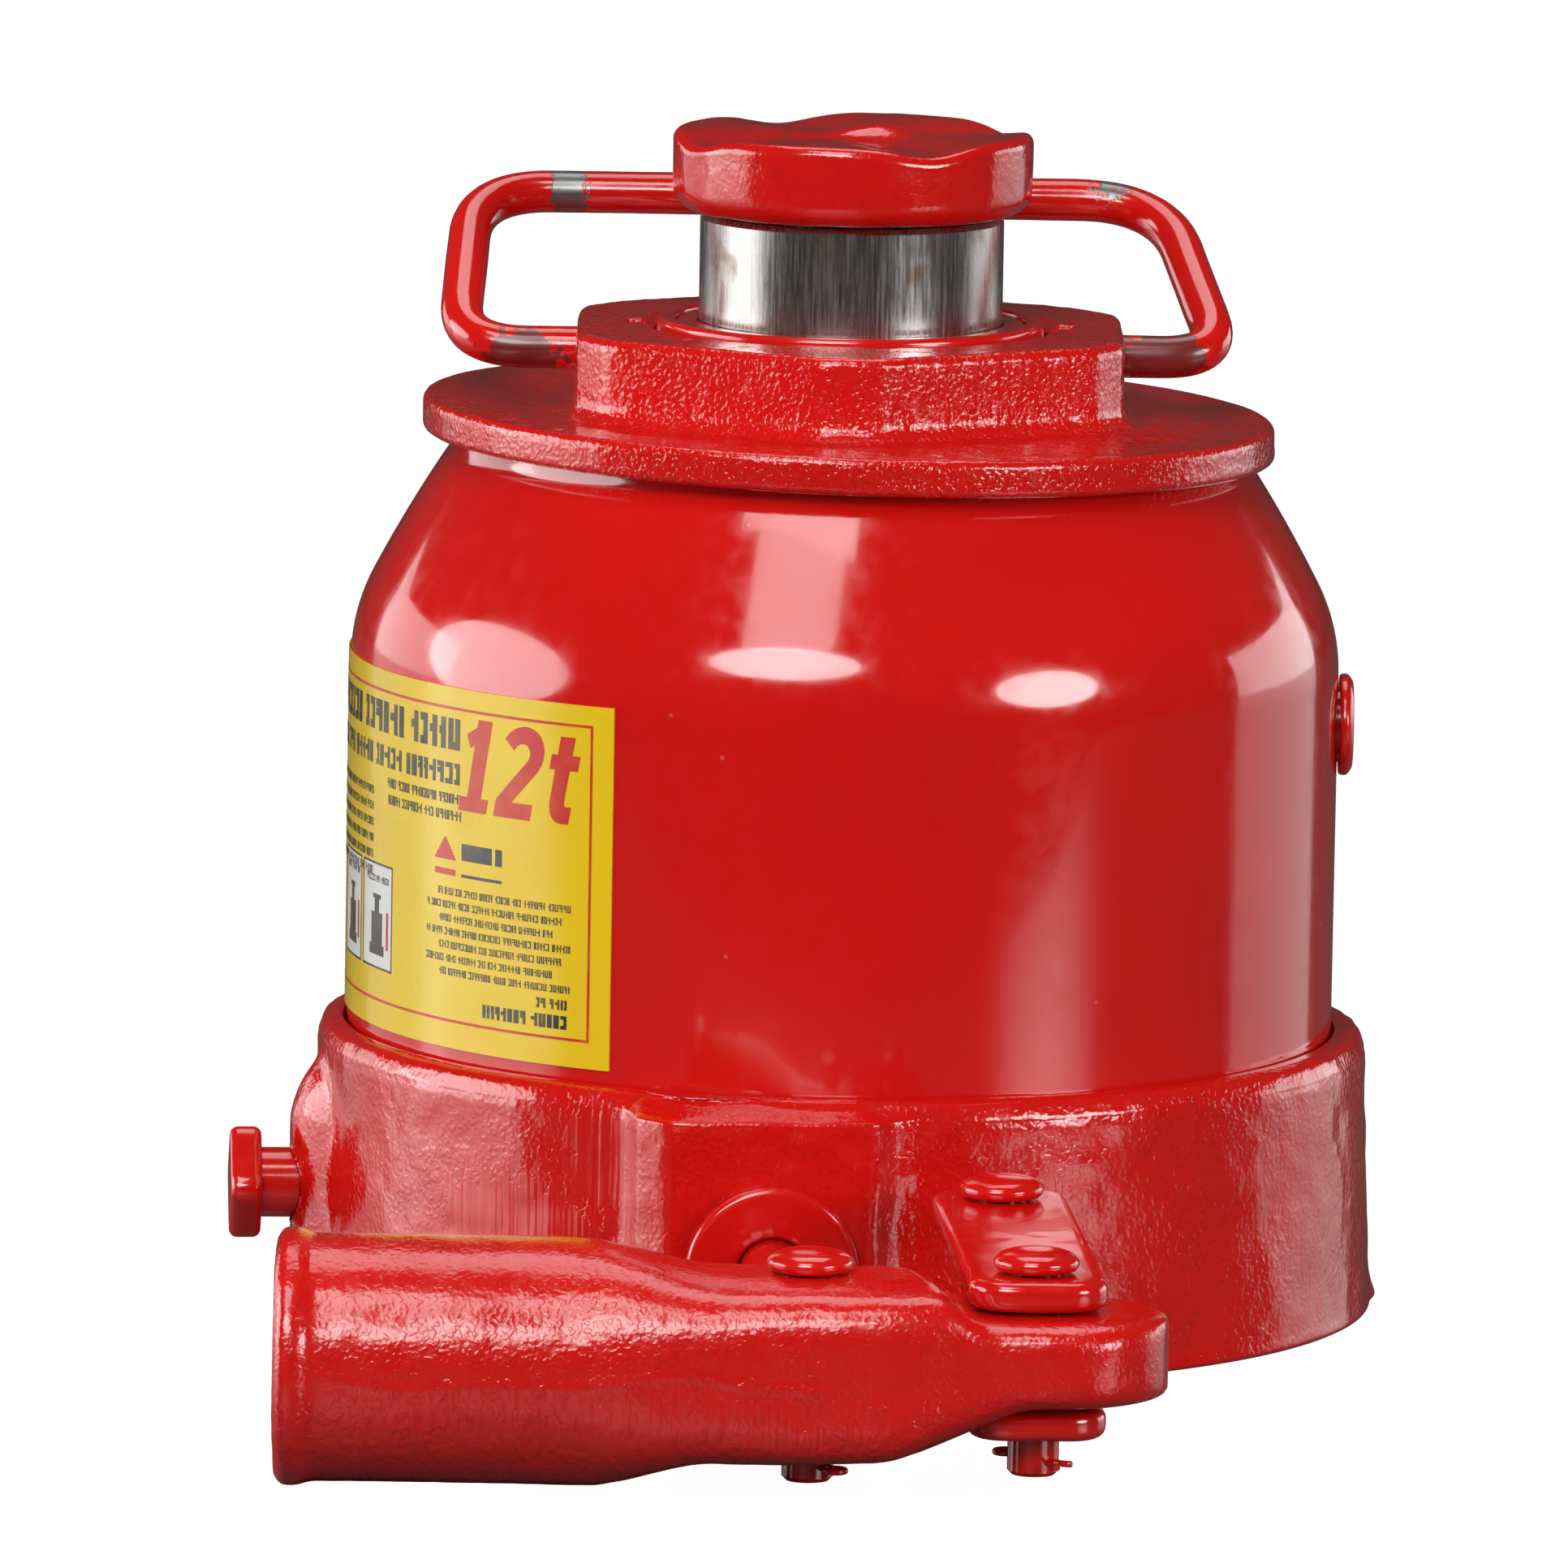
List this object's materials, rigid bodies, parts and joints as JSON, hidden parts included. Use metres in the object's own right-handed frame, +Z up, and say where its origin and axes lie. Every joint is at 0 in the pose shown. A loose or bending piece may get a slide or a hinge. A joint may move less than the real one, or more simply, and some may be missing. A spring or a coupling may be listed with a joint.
{
  "type": "bottle jack",
  "caption": "Low telescopic hydraulic bottle jack, side pumped: round base casting, bell-shaped oil tank, cover nut with carrying bail, two-stage ram, grooved saddle and swinging handle socket.",
  "frame": {"origin": "lifting axis at the underside of the base, where the jack stands", "axes": "+Z up along the lifting axis, -Y towards the pump and the handle socket, +X towards the filler plug"},
  "size_m": [0.1532, 0.2255, 0.155],
  "materials": {
    "gloss_red_paint": "thick gloss red enamel, chipped to bare steel in a few places",
    "painted_casting": "gloss red enamel over a rough sand-cast skin, with ground flats",
    "ram_chrome": "ground and plated rod with an oil film",
    "bare_steel": "machined, oiled",
    "seal_rubber": "matt nitrile",
    "copper_gasket": "soft copper",
    "label_vinyl": "printed yellow vinyl, glossy"
  },
  "bodies": {
    "root": {"base_casting": "painted_casting", "tank_gasket": "seal_rubber", "tank": "gloss_red_paint", "rating_label": "label_vinyl", "cylinder_gasket": "copper_gasket", "cylinder": "bare_steel", "cover_seal": "seal_rubber", "cover_nut": "painted_casting", "gland_ring": "gloss_red_paint", "gland_seal": "seal_rubber", "wiper_ring": "seal_rubber", "pump_cylinder": "bare_steel", "pump_gland_nut": "gloss_red_paint", "pump_packing": "seal_rubber", "suction_spring": "bare_steel", "suction_plug": "bare_steel", "discharge_spring": "bare_steel", "discharge_plug": "bare_steel", "overload_spring": "bare_steel", "overload_plug": "bare_steel"},
    "first_stage": {"first_stage_ram": "bare_steel", "first_stage_seal": "seal_rubber", "first_stage_collar": "bare_steel"},
    "second_stage": {"second_stage_ram": "ram_chrome", "second_stage_seal": "seal_rubber", "saddle_retaining_ring": "bare_steel"},
    "saddle": {"saddle": "painted_casting"},
    "bail": {"carry_handle": "gloss_red_paint"},
    "filler_plug": {"filler_plug": "gloss_red_paint"},
    "plunger": {"pump_plunger": "gloss_red_paint"},
    "link": {"link_plate_upper": "gloss_red_paint", "link_plate_lower": "gloss_red_paint", "socket_pin": "gloss_red_paint", "socket_pin_cotter": "gloss_red_paint", "link_pin": "gloss_red_paint", "link_pin_cotter": "gloss_red_paint"},
    "socket": {"handle_socket": "painted_casting", "plunger_pin": "gloss_red_paint", "plunger_pin_cotter": "gloss_red_paint"},
    "release_screw": {"release_valve_stem": "gloss_red_paint", "release_valve_seal": "seal_rubber", "release_valve_knob": "gloss_red_paint"},
    "release_ball": {"release_ball": "bare_steel"},
    "suction_ball": {"suction_ball": "bare_steel"},
    "discharge_ball": {"discharge_ball": "bare_steel"},
    "overload_ball": {"overload_ball": "bare_steel"}
  },
  "joints": [
    {"name": "first_stage_lift", "type": "slide", "parent": "root", "child": "first_stage", "axis": [0, 0, 1], "range_m": [0, 0.0875]},
    {"name": "second_stage_lift", "type": "slide", "parent": "first_stage", "child": "second_stage", "axis": [0, 0, 1], "range_m": [0, 0.0875]},
    {"name": "saddle_turn", "type": "hinge", "parent": "second_stage", "child": "saddle", "pos_m": [0, 0, 0.1466], "axis": [0, 0, 1], "continuous": true},
    {"name": "bail_swing", "type": "hinge", "parent": "root", "child": "bail", "pos_m": [0, 0, 0.1253], "axis": [0.9976, -0.0698, 0], "range_deg": [-17, 7]},
    {"name": "filler_plug_pull", "type": "slide", "parent": "root", "child": "filler_plug", "axis": [0.9976, -0.0698, 0], "range_m": [0, 0.012]},
    {"name": "link_swing", "type": "hinge", "parent": "root", "child": "link", "pos_m": [0.0147, -0.0882, 0.016], "axis": [0, 0, -1], "range_deg": [-2, 4]},
    {"name": "socket_swing", "type": "hinge", "parent": "link", "child": "socket", "pos_m": [0.0146, -0.1414, 0.016], "axis": [0, 0, -1], "range_deg": [-13.5, 28.5]},
    {"name": "plunger_stroke", "type": "slide", "parent": "root", "child": "plunger", "axis": [0, 1, 0], "range_m": [-0.0069, 0.0145]},
    {"name": "release_ball_lift", "type": "slide", "parent": "root", "child": "release_ball", "axis": [-1, 0, 0], "range_m": [0, 0.00125]},
    {"name": "release_screw_turn", "type": "hinge", "parent": "release_ball", "child": "release_screw", "pos_m": [-0.0785, -0.006, 0.0154], "axis": [-1, 0, 0], "range_deg": [0, 360]},
    {"name": "suction_ball_lift", "type": "slide", "parent": "root", "child": "suction_ball", "axis": [0, 0, 1], "range_m": [0, 0.0012], "stiffness_N_per_m": 200, "springref_m": -0.0005, "deforming": ["suction_spring"]},
    {"name": "discharge_ball_lift", "type": "slide", "parent": "root", "child": "discharge_ball", "axis": [0, 0, 1], "range_m": [0, 0.0012], "stiffness_N_per_m": 200, "springref_m": -0.0005, "deforming": ["discharge_spring"]},
    {"name": "overload_ball_lift", "type": "slide", "parent": "root", "child": "overload_ball", "axis": [0, 0, 1], "range_m": [0, 0.0012], "stiffness_N_per_m": 200, "springref_m": -0.0005, "deforming": ["overload_spring"]}
  ],
  "couplings": [
    {"joint": "link_swing", "follows": "socket_swing", "ratio": 0.125},
    {"joint": "plunger_stroke", "follows": "socket_swing", "m_per_rad": 0.0287},
    {"joint": "release_screw_turn", "follows": "release_ball_lift", "rad_per_m": 5000}
  ]
}
